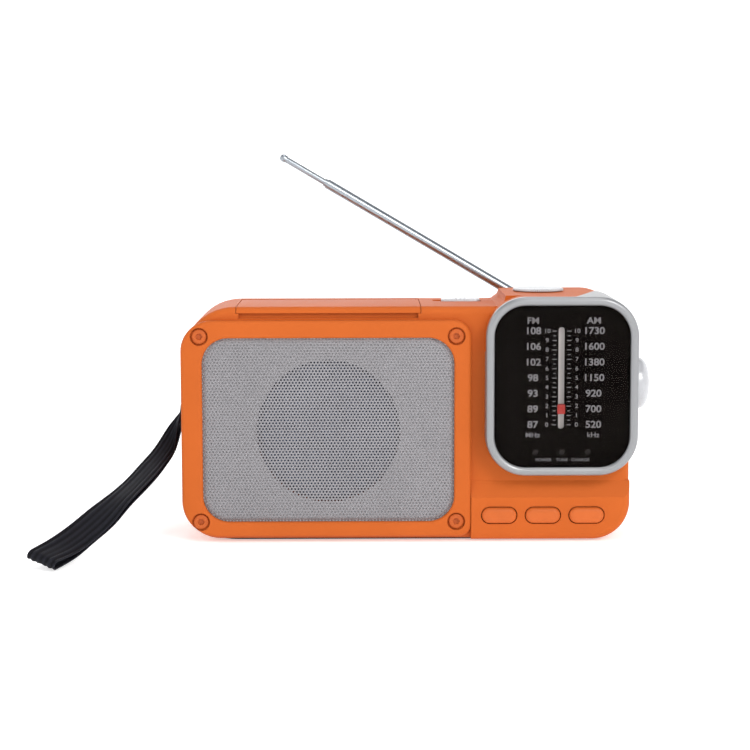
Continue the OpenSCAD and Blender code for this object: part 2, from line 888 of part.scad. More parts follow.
module dynamo_rotor() {
    color("peru") {
        rod_y(-10.5, 2.2, dynamo_x, dynamo_z, 7.4);
        rod_y(2, 8.6, dynamo_x, dynamo_z, 1);
        slab(5.4, 8.6) translate([dynamo_x, dynamo_z]) rotate(train_angle + 180 + 180 / pinion_teeth)
            gear_outline(pinion_teeth, fine_module, 0.9, 1);
    }
}

// wrist strap

module strap_bar() {
    color("gainsboro") rod_y(-5.5, 11.5, bar_x, bar_z, 1);
}

function unit(v) = v / norm(v);
function pick(list, i) = list[min(max(i, 0), len(list) - 1)];
// Catmull-Rom curve through a list of points
function curve(list, i, t) = let (a = pick(list, i - 1), b = pick(list, i), c = pick(list, i + 1), d = pick(list, i + 2))
    0.5 * (2 * b + (c - a) * t + (2 * a - 5 * b + 4 * c - d) * t * t + (3 * b - a - 3 * c + d) * t * t * t);
function along(list, k) = curve(list, min(floor(k / strap_steps), len(list) - 2),
    k / strap_steps - min(floor(k / strap_steps), len(list) - 2));

module strap() {
    last = (len(strap_upper) - 1) * strap_steps;
    rings = [for (k = [0:last]) let (
        up = along(strap_upper, k), low = along(strap_lower, k),
        ahead = along(strap_upper, min(k + 1, last)) + along(strap_lower, min(k + 1, last)),
        behind = along(strap_upper, max(k - 1, 0)) + along(strap_lower, max(k - 1, 0)),
        n = unit(cross(ahead - behind, low - up)) * strap_t / 2)
        [up + n, low + n, low - n, up - n]];
    points = [for (ring = rings) for (p = ring) p];
    sides = [for (k = [0:last - 1]) for (s = [0:3]) for (t = [0:1])
        t == 0 ? [4 * k + s, 4 * k + (s + 1) % 4, 4 * k + 4 + s]
            : [4 * k + (s + 1) % 4, 4 * k + 4 + (s + 1) % 4, 4 * k + 4 + s]];
    ends = [[3, 2, 1], [3, 1, 0], [4 * last, 4 * last + 1, 4 * last + 2], [4 * last, 4 * last + 2, 4 * last + 3]];
    color("black") {
        polyhedron(points, concat(sides, ends), convexity = 6);
        difference() {
            rod_y(strap_y - strap_w / 2, strap_y + strap_w / 2, bar_x, bar_z, 2.4);
            rod_y(strap_y - strap_w, strap_y + strap_w, bar_x, bar_z, 1.1);
        }
    }
}

front_shell();
rear_shell();
grille_frame();
speaker_grille();
grille_backing();
frame_screws();
speaker_basket();
speaker_cone();
speaker_magnet();
voice_coil();
dial_case();
dial_glass();
dial_plate();
light_guide();
indicator_leds();
indicator_board();
pointer();
pointer_carriage();
dial_cord();
pulley_bracket();
pulley(pulley_zs[1]);  // upper_pulley
pulley(pulley_zs[0]);  // lower_pulley
tuning_knob();
tuning_shaft();
tuning_capacitor();
main_board();
board_parts();
button(button_xs[0]);  // left_button
button(button_xs[1]);  // middle_button
button(button_xs[2]);  // right_button
key_board();
key_switches();
volume_knob();
volume_pot();
band_slider();
band_switch();
lid();
lid_pin();
solar_panel();
lamp_lens();
lamp_board();
antenna_base();
antenna_tube();
antenna_middle();
antenna_tip();
crank_arm();
crank_handle();
crank_gear();
idler_gear();
gear_plate();
dynamo_case();
dynamo_rotor();
battery();
battery_door();
foot_ring();
case_screws();
earphone_jack();
port_cover();
strap_bar();
strap();
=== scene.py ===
import json
import math

import bmesh
import bpy
import numpy as np
from mathutils import Matrix, Vector


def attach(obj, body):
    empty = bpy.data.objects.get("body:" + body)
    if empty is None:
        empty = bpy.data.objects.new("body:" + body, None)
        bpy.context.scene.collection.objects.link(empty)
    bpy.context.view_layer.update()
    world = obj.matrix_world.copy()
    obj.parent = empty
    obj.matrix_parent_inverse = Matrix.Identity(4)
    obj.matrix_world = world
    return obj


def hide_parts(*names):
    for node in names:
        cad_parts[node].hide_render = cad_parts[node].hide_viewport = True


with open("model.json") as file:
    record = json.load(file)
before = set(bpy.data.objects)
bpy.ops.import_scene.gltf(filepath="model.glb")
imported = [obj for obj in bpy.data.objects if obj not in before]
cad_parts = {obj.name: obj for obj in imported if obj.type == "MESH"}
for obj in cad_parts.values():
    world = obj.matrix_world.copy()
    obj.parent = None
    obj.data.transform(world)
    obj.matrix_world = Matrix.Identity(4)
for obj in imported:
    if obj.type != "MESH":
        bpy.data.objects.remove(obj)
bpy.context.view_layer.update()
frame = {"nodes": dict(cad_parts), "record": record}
cadNodes = frame["nodes"]
scene = bpy.context.scene
mm = 0.001
print("frame loaded,", len(cadNodes), "CAD nodes")


# camera and lights

# place in metres, angles in radians, lens in millimetres
view = dict(place=(-0.01377, -0.700, 0.13575), yaw=0.0046, pitch=0.114, roll=-0.0023, lens=95.29)


def aimedCamera(name, place, yaw, pitch, roll, lens):
    # forward = (sin yaw cos pitch, cos yaw cos pitch, -sin pitch), then turned about itself by roll
    forward = np.array([math.sin(yaw) * math.cos(pitch), math.cos(yaw) * math.cos(pitch), -math.sin(pitch)])
    level = np.array([math.cos(yaw), -math.sin(yaw), 0.0])
    above = np.cross(level, forward)
    right = level * math.cos(roll) + above * math.sin(roll)
    up = above * math.cos(roll) - level * math.sin(roll)
    turn = Matrix(np.stack([right, up, -forward], 1).tolist()).to_4x4()
    data = bpy.data.cameras.new(name)
    data.lens, data.sensor_width, data.clip_start = lens, 36, 0.01
    made = bpy.data.objects.new(name, data)
    made.matrix_world = Matrix.Translation(place) @ turn
    scene.collection.objects.link(made)
    return made


scene.camera = aimedCamera("camera", **view)
scene.view_settings.view_transform = "Standard"
scene.view_settings.look = "None"

softboxes = [
    dict(name="keyLight", place=(0.42, -0.8, 0.62), aim=(0, 0, 0.05), size=0.4, power=3.9, tint=(1, 0.985, 0.96)),
    dict(name="fillLight", place=(-0.75, -0.65, 0.5), aim=(0, 0, 0.05), size=0.6, power=0.5, tint=(0.97, 0.985, 1)),
    dict(name="topLight", place=(0.05, -0.1, 0.95), aim=(0, 0.0, 0.06), size=0.5, power=2.3, tint=(1, 1, 1)),
    dict(name="backLight", place=(-0.2, 0.9, 0.5), aim=(0, 0, 0.05), size=0.7, power=1.5, tint=(1, 1, 1)),
]


def softbox(name, place, aim, size, power, tint):
    data = bpy.data.lights.new(name, "AREA")
    data.shape, data.size, data.energy, data.color = "DISK", size, power, tint
    made = bpy.data.objects.new(name, data)
    towards = Vector(aim) - Vector(place)
    made.matrix_world = Matrix.Translation(place) @ towards.to_track_quat("-Z", "Y").to_matrix().to_4x4()
    scene.collection.objects.link(made)


for box in softboxes:
    softbox(**box)

sky = dict(tint=(0.93, 0.95, 1.0, 1), strength=0.35)
world = bpy.data.worlds.new("studio")
scene.world = world
world.use_nodes = True
world.node_tree.nodes["Background"].inputs["Color"].default_value = sky["tint"]
world.node_tree.nodes["Background"].inputs["Strength"].default_value = sky["strength"]
print("camera and lights in place")


# finishes

def ink(red, green, blue):
    # screen colour 0 to 255 to the linear colour that shaders take
    c = np.array([red, green, blue]) / 255
    return (*np.where(c <= 0.04045, c / 12.92, ((c + 0.055) / 1.055) ** 2.4), 1.0)


def addNode(tree, kind, settings=None, values=None):
    made = tree.nodes.new(kind)
    for key, value in (settings or {}).items():
        setattr(made, key, value)
    for key, value in (values or {}).items():
        made.inputs[key].default_value = value
    return made


socketNames = dict(
    metallic="Metallic", specular="Specular IOR Level", coat="Coat Weight", coatRough="Coat Roughness",
    sheen="Sheen Weight", sheenRough="Sheen Roughness", glow="Emission Strength", glowColour="Emission Color")


def newFinish(name, **sockets):
    finish = bpy.data.materials.new(name)
    finish.use_nodes = True
    tree = finish.node_tree
    shader = tree.nodes["Principled BSDF"]
    for key, value in sockets.items():
        shader.inputs[socketNames[key]].default_value = value
    return finish, tree, shader


def mathOf(tree, kind, *values):
    # one arithmetic node; each value is a number or the output of another node
    made = addNode(tree, "ShaderNodeMath", dict(operation=kind))
    for socket, value in zip(made.inputs, values):
        if isinstance(value, (int, float)):
            socket.default_value = value
        else:
            tree.links.new(value, socket)
    return made.outputs["Value"]


def objectCoords(tree):
    return addNode(tree, "ShaderNodeTexCoord").outputs["Object"]


def noiseOf(tree, coords, scale, detail=2.0, rough=0.5):
    made = addNode(tree, "ShaderNodeTexNoise", None, {"Scale": scale, "Detail": detail, "Roughness": rough})
    tree.links.new(coords, made.inputs["Vector"])
    return made.outputs["Fac"]


def between(tree, factor, low, high, start=0.3, end=0.7):
    # a colour that runs from low to high as the factor goes from start to end
    ramp = tree.nodes.new("ShaderNodeValToRGB")
    ramp.color_ramp.elements[0].position, ramp.color_ramp.elements[0].color = start, low
    ramp.color_ramp.elements[1].position, ramp.color_ramp.elements[1].color = end, high
    tree.links.new(factor, ramp.inputs["Fac"])
    return ramp.outputs["Color"]


def span(tree, factor, low, high):
    limits = {"From Min": 0.25, "From Max": 0.75, "To Min": low, "To Max": high}
    made = addNode(tree, "ShaderNodeMapRange", None, limits)
    tree.links.new(factor, made.inputs["Value"])
    return made.outputs["Result"]


def bumped(tree, shader, height, depth, strength=1.0):
    bump = addNode(tree, "ShaderNodeBump", None, {"Strength": strength, "Distance": depth})
    tree.links.new(height, bump.inputs["Height"])
    tree.links.new(bump.outputs["Normal"], shader.inputs["Normal"])


def toned(colour, factor):
    return tuple(min(1.0, c * factor) for c in colour[:3]) + (1.0,)


def moulded(name, colour, rough=0.4, spread=0.06, grain=0.0005, depth=0.00001, patch=0.02, **sockets):
    # moulded plastic: a broad drift of tone, a fine spark-eroded grain and a little change in gloss
    finish, tree, shader = newFinish(name, **sockets)
    coords = objectCoords(tree)
    drift = noiseOf(tree, coords, 1 / patch)
    fine = noiseOf(tree, coords, 1 / grain, 3)
    tone = between(tree, drift, toned(colour, 1 - spread), toned(colour, 1 + spread))
    tree.links.new(tone, shader.inputs["Base Color"])
    tree.links.new(span(tree, fine, rough - 0.05, rough + 0.07), shader.inputs["Roughness"])
    bumped(tree, shader, fine, depth)
    return finish


def brushed(name, colour, rough=0.25, stretch=(1, 1, 1), **sockets):
    # drawn or brushed metal: fine noise stretched along the way it was worked
    finish, tree, shader = newFinish(name, metallic=1.0, **sockets)
    coords = objectCoords(tree)
    mapping = tree.nodes.new("ShaderNodeMapping")
    mapping.inputs["Scale"].default_value = stretch
    tree.links.new(coords, mapping.inputs["Vector"])
    fine = noiseOf(tree, mapping.outputs["Vector"], 1500, 4, 0.6)
    drift = noiseOf(tree, coords, 90)
    tree.links.new(between(tree, drift, toned(colour, 0.94), toned(colour, 1.05)), shader.inputs["Base Color"])
    tree.links.new(span(tree, fine, rough * 0.8, rough * 1.3), shader.inputs["Roughness"])
    bumped(tree, shader, fine, 0.0000012)
    return finish


def wovenFinish(name, dark, light, rough, threads, ribs):
    # webbing: warp and weft from two sine waves over the piece's own UV map, with a painted highlight along the
    # crests of its ribs
    finish, tree, shader = newFinish(name, specular=0.12)
    uv = addNode(tree, "ShaderNodeUVMap", dict(uv_map="weave")).outputs["UV"]
    parts = tree.nodes.new("ShaderNodeSeparateXYZ")
    tree.links.new(uv, parts.inputs["Vector"])
    lengthwise = mathOf(tree, "SINE", mathOf(tree, "MULTIPLY", parts.outputs["X"], threads[0] * math.tau))
    across = mathOf(tree, "SINE", mathOf(tree, "MULTIPLY", parts.outputs["Y"], threads[1] * math.tau))
    level = mathOf(tree, "MULTIPLY_ADD", mathOf(tree, "MULTIPLY", lengthwise, across), 0.5, 0.5)
    coords = objectCoords(tree)
    fuzz = noiseOf(tree, coords, 2600, 3)
    # painted highlight: the crests of the ribs are made paler, as if light caught them
    crest = mathOf(tree, "COSINE", mathOf(tree, "MULTIPLY", parts.outputs["Y"], ribs * math.tau))
    mixed = mathOf(tree, "ADD", mathOf(tree, "MULTIPLY", level, 0.35), mathOf(tree, "MULTIPLY", fuzz, 0.25))
    mixed = mathOf(tree, "MULTIPLY_ADD", mathOf(tree, "MULTIPLY_ADD", crest, 0.5, 0.5), 0.4, mixed)
    tree.links.new(between(tree, mixed, dark, light, 0.2, 0.85), shader.inputs["Base Color"])
    tree.links.new(span(tree, fuzz, rough - 0.06, rough + 0.1), shader.inputs["Roughness"])
    bumped(tree, shader, mixed, 0.00012, 0.8)
    return finish


def smokedGlass(name, tint, glossTint, rim):
    # clear pane: see-through with a tint, and a gloss of least + rise * facing^power towards grazing angles
    finish = bpy.data.materials.new(name)
    finish.use_nodes = True
    tree = finish.node_tree
    tree.nodes.remove(tree.nodes["Principled BSDF"])
    coords = objectCoords(tree)
    clear = tree.nodes.new("ShaderNodeBsdfTransparent")
    tree.links.new(between(tree, noiseOf(tree, coords, 40), toned(tint, 0.93), tint), clear.inputs["Color"])
    gloss = addNode(tree, "ShaderNodeBsdfGlossy", None, {"Roughness": 0.12, "Color": glossTint})
    facing = addNode(tree, "ShaderNodeLayerWeight", None, {"Blend": 0.5}).outputs["Facing"]
    least, rise, power = rim
    share = mathOf(tree, "MULTIPLY_ADD", mathOf(tree, "POWER", facing, power), rise, least)
    blend = tree.nodes.new("ShaderNodeMixShader")
    tree.links.new(share, blend.inputs["Fac"])
    tree.links.new(clear.outputs["BSDF"], blend.inputs[1])
    tree.links.new(gloss.outputs["BSDF"], blend.inputs[2])
    tree.links.new(blend.outputs["Shader"], tree.nodes["Material Output"].inputs["Surface"])
    return finish


def griddedCells(name, cell, lines, pitch, width):
    # solar cells: dark blue squares with thin bright collector lines across them
    finish, tree, shader = newFinish(name, coat=0.8, coatRough=0.05, specular=0.5)
    coords = objectCoords(tree)
    brick = addNode(tree, "ShaderNodeTexBrick", dict(offset=0.0), {
        "Scale": 1.0, "Mortar Size": width, "Mortar Smooth": 0.1, "Brick Width": pitch[0], "Row Height": pitch[1],
        "Color1": cell, "Color2": toned(cell, 1.25), "Mortar": lines})
    tree.links.new(coords, brick.inputs["Vector"])
    tree.links.new(brick.outputs["Color"], shader.inputs["Base Color"])
    tree.links.new(span(tree, noiseOf(tree, coords, 900), 0.2, 0.32), shader.inputs["Roughness"])
    return finish


finishes = {
    "orange_shell": moulded("orangeShell", ink(190, 93, 37), 0.5, 0.035, 0.00035, 0.000012, 0.03, specular=0.09),
    "orange_button": moulded("orangeButton", ink(196, 97, 41), 0.45, 0.03, 0.0004, 0.000006, 0.01, specular=0.22),
    "orange_screw": moulded("orangeScrew", ink(184, 88, 35), 0.42, 0.05, 0.0003, 0.00001, 0.004, specular=0.22),
    "grille_mesh": moulded("grilleMesh", ink(140, 138, 141), 0.45, 0.05, 0.0004, 0.000006, 0.02, metallic=0.5),
    "grey_backing": moulded("grilleFelt", ink(190, 187, 190), 0.9, 0.05, 0.0006, 0.00006, 0.008, sheen=0.2),
    "speaker_steel": brushed("speakerSteel", ink(150, 152, 158), 0.35),
    "speaker_paper": moulded("coneCard", ink(104, 116, 140), 0.75, 0.12, 0.0007, 0.00005, 0.006),
    "copper": brushed("copperWire", ink(200, 120, 70), 0.3, (1, 9, 1)),
    "silver_case": moulded("caseSilver", ink(144, 145, 147), 0.36, 0.025, 0.0003, 0.000005, 0.02,
                           metallic=0.55, coat=0.2, coatRough=0.15),
    "dial_glass": smokedGlass("dialGlass", (0.95, 0.94, 0.94, 1), (0.2, 0.17, 0.14, 1), (0.012, 0.5, 4.0)),
    "dial_print": moulded("dialBlack", ink(7, 5, 5), 0.85, 0.1, 0.0005, 0.000002, 0.01, specular=0.02),
    # the white plastic's glow is painted light: it shines faintly though no lamp lights it
    "white_plastic": moulded("whitePlasticPaintedGlow", ink(226, 222, 218), 0.4, 0.04, 0.0006, 0.000005, 0.01,
                             glow=0.14, glowColour=(1, 0.98, 0.96, 1)),
    "red_pointer": moulded("pointerRed", ink(176, 48, 40), 0.35, 0.08, 0.0004, 0.000004, 0.004),
    "bright_metal": brushed("antennaChrome", ink(158, 164, 170), 0.28, (0.2, 1, 1)),
    "steel": brushed("plainSteel", ink(170, 172, 176), 0.3),
    "circuit_board": moulded("boardGreen", ink(24, 84, 52), 0.4, 0.2, 0.0012, 0.00001, 0.004, coat=0.4),
    "black_plastic": moulded("blackPlastic", ink(30, 30, 32), 0.45, 0.15, 0.0004, 0.00001, 0.01),
    "gear_plastic": moulded("gearNylon", ink(226, 220, 202), 0.5, 0.05, 0.0006, 0.00001, 0.01),
    "dark_screw": brushed("screwDark", ink(70, 70, 74), 0.35),
    "solar_cell": griddedCells("solarCells", ink(22, 30, 66), ink(150, 158, 178), (0.0092, 0.0115), 0.0002),
    "battery_wrap": moulded("batteryWrap", ink(96, 78, 150), 0.35, 0.05, 0.0008, 0.000004, 0.02, coat=0.3),
    "rubber": moulded("rubberGrey", ink(52, 50, 50), 0.8, 0.15, 0.0005, 0.00003, 0.01),
    "webbing": wovenFinish("webbing", ink(1, 1, 3), ink(34, 34, 42), 0.55, (230, 22), 5),
}
silverKnob = moulded("knobSilver", ink(184, 185, 188), 0.3, 0.02, 0.0003, 0.000004, 0.01,
                     metallic=0.3, coat=0.3, coatRough=0.12)
dialInk = moulded("dialInk", ink(130, 130, 134), 0.6, 0.06, 0.0004, 0.000003, 0.005)
floorFinish = moulded("floorPaper", (0.93, 0.93, 0.93, 1), 0.8, 0.005, 0.002, 0.00001, 0.4,
                      specular=0.1, glow=0.42, glowColour=(1, 1, 1, 1))
smokedLens = moulded("indicatorSmoke", ink(16, 12, 12), 0.3, 0.1, 0.0004, 0.000002, 0.005, specular=0.3)

bodyOf = {}
for bodyName, members in frame["record"]["behaviour"]["bodies"].items():
    for member in members:
        bodyOf[member] = bodyName
slotOf = {part["node"]: part["material_slot"] for part in frame["record"]["subparts"]}
for nodeName, slotName in slotOf.items():
    data = cadNodes[nodeName].data
    data.materials.clear()
    data.materials.append(finishes[slotName])
cadNodes["indicator_leds"].data.materials[0] = smokedLens
print("finishes on the CAD nodes")


# shapes: the pieces' sizes are millimetres, and a profile's row is (inset or radius, height) along its outline

def wrapGrid(rows, columns, wrapRows=False, wrapColumns=False):
    # the four-cornered faces between neighbours of a rows by columns grid of points
    r = np.arange(rows if wrapRows else rows - 1)
    c = np.arange(columns if wrapColumns else columns - 1)
    r, c = np.meshgrid(r, c, indexing="ij")
    r2, c2 = (r + 1) % rows, (c + 1) % columns
    quads = np.stack([r * columns + c, r * columns + c2, r2 * columns + c2, r2 * columns + c], -1)
    return quads.reshape(-1, 4)


sharpEdge = 38  # degrees between two faces past which their edge stays crisp


def cleaned(data, merge=True):
    # doubles within a thousandth of a millimetre merged, then all faces turned outwards
    work = bmesh.new()
    work.from_mesh(data)
    if merge:
        bmesh.ops.remove_doubles(work, verts=work.verts, dist=1e-6)
    bmesh.ops.recalc_face_normals(work, faces=work.faces)
    work.to_mesh(data)
    work.free()


def makePiece(name, points, faces, finish, body, stands=(), sharp=sharpEdge, outward=True):
    # one mesh from arrays, smooth except at real edges
    data = bpy.data.meshes.new(name)
    data.from_pydata(np.asarray(points, float).reshape(-1, 3).tolist(), [], [list(map(int, f)) for f in faces])
    if outward:
        cleaned(data)
    data.polygons.foreach_set("use_smooth", np.ones(len(data.polygons), bool))
    data.set_sharp_from_angle(angle=math.radians(sharp))
    data.materials.append(finish)
    made = bpy.data.objects.new(name, data)
    scene.collection.objects.link(made)
    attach(made, body)
    if stands:
        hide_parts(*stands)
    return made


def joined(shapes):
    # several (points, faces) shapes as one
    points, faces, start = [], [], 0
    for p, f in shapes:
        p = np.asarray(p, float).reshape(-1, 3)
        points.append(p)
        faces += [[int(i) + start for i in face] for face in f]
        start += len(p)
    return np.concatenate(points), faces


def roundedPath(a0, b0, a1, b1, radius, arcSteps=10, run=2.0):
    # round a rectangle: each corner is centre + radius * (cos, sin), with straight runs of about run millimetres
    # between; the second array is the outward direction at each point
    centres = [(a1 - radius, b1 - radius), (a0 + radius, b1 - radius),
               (a0 + radius, b0 + radius), (a1 - radius, b0 + radius)]
    points, outs = [], []
    for i, centre in enumerate(centres):
        angle = np.radians(90 * i + np.linspace(0, 90, arcSteps + 1))
        out = np.stack([np.cos(angle), np.sin(angle)], 1)
        points.append(np.array(centre) + radius * out)
        outs.append(out)
        start, end = points[-1][-1], np.array(centres[(i + 1) % 4]) + radius * out[-1]
        steps = int(np.linalg.norm(end - start) / run)
        if steps > 1:
            t = np.linspace(0, 1, steps + 1)[1:-1, None]
            points.append(start + (end - start) * t)
            outs.append(np.repeat(out[-1:], steps - 1, 0))
    return np.concatenate(points), np.concatenate(outs)


def frontPlace(a, b, h):
    return np.stack([a, h, b], -1) * mm


def topPlace(a, b, h):
    return np.stack([a, b, h], -1) * mm


def sidePlace(a, b, h):
    return np.stack([h, a, b], -1) * mm


def rimShape(path, profile, place=frontPlace, ring=False):
    # point = outline point - inset * outward direction, at the profile's height; flat caps unless it is a ring
    base, out = path
    profile = np.broadcast_to(np.asarray(profile, float), (len(base),) + np.asarray(profile).shape[-2:])
    flat = base[:, None, :] - profile[..., :1] * out[:, None, :]
    points = place(flat[..., 0], flat[..., 1], profile[..., 1])
    rows, columns = points.shape[:2]
    faces = wrapGrid(rows, columns, True, ring).tolist()
    if not ring:
        faces += [(np.arange(rows) * columns).tolist(), (np.arange(rows)[::-1] * columns + columns - 1).tolist()]
    return points.reshape(-1, 3), faces


def turnedShape(profile, centre, place=frontPlace, steps=64, ripple=None):
    # point = centre + radius(profile, angle) * (cos, sin) at the profile's height; ripple(angle) scales the radius
    # of the rows whose third number is not 0
    profile = np.asarray(profile, float)
    angle = np.arange(steps) * math.tau / steps
    radius = np.repeat(profile[None, :, 0], steps, 0)
    if ripple is not None:
        radius = radius * (1 + profile[None, :, 2] * ripple(angle)[:, None])
    a = centre[0] + radius * np.cos(angle)[:, None]
    b = centre[1] + radius * np.sin(angle)[:, None]
    points = place(a, b, np.repeat(profile[None, :, 1], steps, 0))
    columns = len(profile)
    faces = wrapGrid(steps, columns, True).tolist()
    faces += [(np.arange(steps) * columns).tolist(), (np.arange(steps)[::-1] * columns + columns - 1).tolist()]
    return points.reshape(-1, 3), faces


def softened(node, name, width, angle=32, segments=3):
    # a merged copy of a CAD node whose corners are rounded by a small bevel
    work = bmesh.new()
    work.from_mesh(cadNodes[node].data)
    bmesh.ops.remove_doubles(work, verts=work.verts, dist=2e-6)
    bmesh.ops.dissolve_limit(work, angle_limit=math.radians(0.4), verts=work.verts, edges=work.edges)
    data = bpy.data.meshes.new(name)
    work.to_mesh(data)
    work.free()
    for layer in [x for x in data.attributes if "normal" in x.name]:
        data.attributes.remove(layer)
    data.polygons.foreach_set("use_smooth", np.ones(len(data.polygons), bool))
    data.set_sharp_from_angle(angle=math.radians(angle))
    data.materials.clear()
    data.materials.append(finishes[slotOf[node]])
    made = bpy.data.objects.new(name, data)
    scene.collection.objects.link(made)
    bevel = made.modifiers.new("softEdge", "BEVEL")
    bevel.width, bevel.segments, bevel.limit_method = width * mm, segments, "ANGLE"
    bevel.angle_limit, bevel.use_clamp_overlap, bevel.miter_outer = math.radians(angle), True, "MITER_ARC"
    bevel.harden_normals = False
    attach(made, bodyOf[node])
    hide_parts(node)


# housing with softened edges

edgeWidths = {
    "lid": ("lidCover", 0.35),
    "battery_door": ("batteryDoor", 0.25),
    "crank_arm": ("crankArm", 0.5),
    "crank_handle": ("crankHandle", 0.5),
}
for node, (name, width) in edgeWidths.items():
    softened(node, name, width)
print("housing edges softened")


# grille frame

bezel = dict(
    low=(-77.4, 2.0), high=(22.4, 77.0), corners=(6.0, 10.5, 12.5, 4.0), openLow=(-70.1, 7.2), openHigh=(16.6, 71.0),
    openCorner=9.0, front=-24.0, back=-20.5, seat=-22.2, tuck=2.4, outerRound=1.3, innerRound=0.9,
    screwXs=(-70.9, 17.3), screwZs=(7.3, 71.6), recess=(3.1, -22.6), thread=(1.25, -18.0))


def cornerPath(low, high, corners, arcSteps=14, sideSteps=10):
    # outline with its own radius at each corner: centre + radius * (cos, sin), then even steps along each side
    sign = np.array([(1, 1), (-1, 1), (-1, -1), (1, -1)])
    radius = np.array(corners, float)[:, None]
    centre = np.where(sign > 0, high, low) - sign * radius
    angle = np.radians(90 * np.arange(4)[:, None] + np.linspace(0, 90, arcSteps + 1))
    out = np.stack([np.cos(angle), np.sin(angle)], -1)
    arc = centre[:, None] + radius[:, None] * out
    t = np.linspace(0, 1, sideSteps + 1)[1:-1, None]
    side = arc[:, -1:] * (1 - t) + np.roll(arc[:, :1], -1, 0) * t
    outs = np.concatenate([out, np.repeat(out[:, -1:], sideSteps - 1, 1)], 1)
    return np.concatenate([arc, side], 1).reshape(-1, 2), outs.reshape(-1, 2)


def bezelShape(b):
    # a quarter circle over the outer edge, the flat front, a quarter circle into the opening, then the sheet's seat
    turn = np.linspace(0, math.pi / 2, 8)
    outer = np.stack([b["outerRound"] * (1 - np.cos(turn)), b["front"] + b["outerRound"] * (1 - np.sin(turn))], 1)
    outer = np.concatenate([[[0, b["back"]]], outer])
    inner = np.stack([-b["innerRound"] * (1 - np.sin(turn)), b["front"] + b["innerRound"] * (1 - np.cos(turn))], 1)
    inner = np.concatenate([inner, [[0, b["seat"]], [-b["tuck"], b["seat"]], [-b["tuck"], b["back"]]]])
    rims = []
    for path, profile in ((cornerPath(b["low"], b["high"], b["corners"]), outer),
                          (cornerPath(b["openLow"], b["openHigh"], [b["openCorner"]] * 4), inner)):
        flat = path[0][:, None] - profile[None, :, :1] * path[1][:, None]
        rims.append(frontPlace(flat[..., 0], flat[..., 1], np.broadcast_to(profile[None, :, 1], flat.shape[:2])))
    points = np.concatenate(rims, 1)
    return points.reshape(-1, 3), wrapGrid(*points.shape[:2], True, True)


def carved(made, points, faces):
    # the piece with the given closed shapes taken out of it
    data = bpy.data.meshes.new("cutter")
    data.from_pydata(points.tolist(), [], [list(map(int, f)) for f in faces])
    cleaned(data, False)
    cutter = bpy.data.objects.new("cutter", data)
    scene.collection.objects.link(cutter)
    cut = made.modifiers.new("cut", "BOOLEAN")
    cut.operation, cut.solver, cut.object = "DIFFERENCE", "EXACT", cutter
    left = bpy.data.meshes.new_from_object(made.evaluated_get(bpy.context.evaluated_depsgraph_get()))
    made.modifiers.clear()
    old, made.data = made.data, left
    bpy.data.objects.remove(cutter)
    bpy.data.meshes.remove(old)
    left.set_sharp_from_angle(angle=math.radians(sharpEdge))


points, faces = bezelShape(bezel)
grilleFrame = makePiece("grilleFrame", points, faces, finishes["orange_shell"], "housing",
                        ["grille_frame"])
holeProfile = [(bezel["thread"][0], bezel["thread"][1], 0), (bezel["thread"][0], bezel["recess"][1], 0),
               (*bezel["recess"], 0), (bezel["recess"][0], bezel["front"] - 2, 0)]
holes = [turnedShape(holeProfile, (x, z), frontPlace, 48) for x in bezel["screwXs"] for z in bezel["screwZs"]]
carved(grilleFrame, *joined(holes))
print("grille frame:", len(grilleFrame.data.polygons), "faces")


# speaker grille

grille = dict(low=bezel["openLow"], high=bezel["openHigh"], corner=bezel["openCorner"], tuck=2.2,
              pitch=1.15, row=1.0, hole=0.36, face=-22.14, turnDown=0.3, gauge=0.24,
              trim=0.55, blank=0.5, fade=0.9)


def insideBy(a, b, low, high, corner):
    # signed depth inside a rounded rectangle: positive inside, from the distance to its corner circles
    middle, half = (np.array(low) + high) / 2, (np.array(high) - low) / 2 - corner
    qa, qb = np.abs(a - middle[0]) - half[0], np.abs(b - middle[1]) - half[1]
    outside = np.hypot(np.maximum(qa, 0), np.maximum(qb, 0)) + np.minimum(np.maximum(qa, qb), 0)
    return corner - outside


def perforatedSheet(low, high, corner, tuck, pitch, row, hole, face, turnDown, gauge, trim, blank, fade):
    # brick rows of cells, each an eight-sided hole in a rectangle; depth = face + turnDown * exp(-(inset / fade)^2);
    # cells whose centres lie more than blank outside the opening have no hole
    columns, rows = int((high[0] - low[0] + 2 * tuck) / pitch) + 2, int((high[1] - low[1] + 2 * tuck) / row) + 1
    j, i = np.meshgrid(np.arange(rows), np.arange(columns), indexing="ij")
    ca = (low[0] - tuck + pitch * (i + 0.5 * (j % 2))).ravel()
    cb = (low[1] - tuck + row * (j + 0.5)).ravel()
    depth = insideBy(ca, cb, low, high, corner)
    keep = depth > -tuck + trim
    ca, cb, depth = ca[keep], cb[keep], depth[keep]
    turn = np.arange(8) * math.tau / 8
    square = np.round(1.2 * np.stack([np.cos(turn), np.sin(turn)], 1)).clip(-1, 1)
    rim = square * (pitch / 2, row / 2)
    bore = hole * np.stack([np.cos(turn), np.sin(turn)], 1)
    centre = np.stack([ca, cb], 1)[:, None, :]
    flat = np.concatenate([centre + rim, centre + bore, centre + bore], 1)
    inset = np.maximum(insideBy(flat[..., 0], flat[..., 1], low, high, corner), 0)
    back = face + turnDown * np.exp(-(inset / fade) ** 2)
    back[:, 16:] += gauge
    points = frontPlace(flat[..., 0], flat[..., 1], back)
    k = np.arange(8)
    n = (k + 1) % 8
    cell = np.concatenate([np.stack([k, n, n + 8, k + 8], 1), np.stack([k + 8, n + 8, n + 16, k + 16], 1)])
    pierced = depth > -blank
    quads = (np.flatnonzero(pierced)[:, None, None] * 24 + cell[None]).reshape(-1, 4)
    blanks = np.flatnonzero(~pierced)[:, None] * 24 + k[None]
    return points.reshape(-1, 3), quads.tolist() + blanks.tolist()


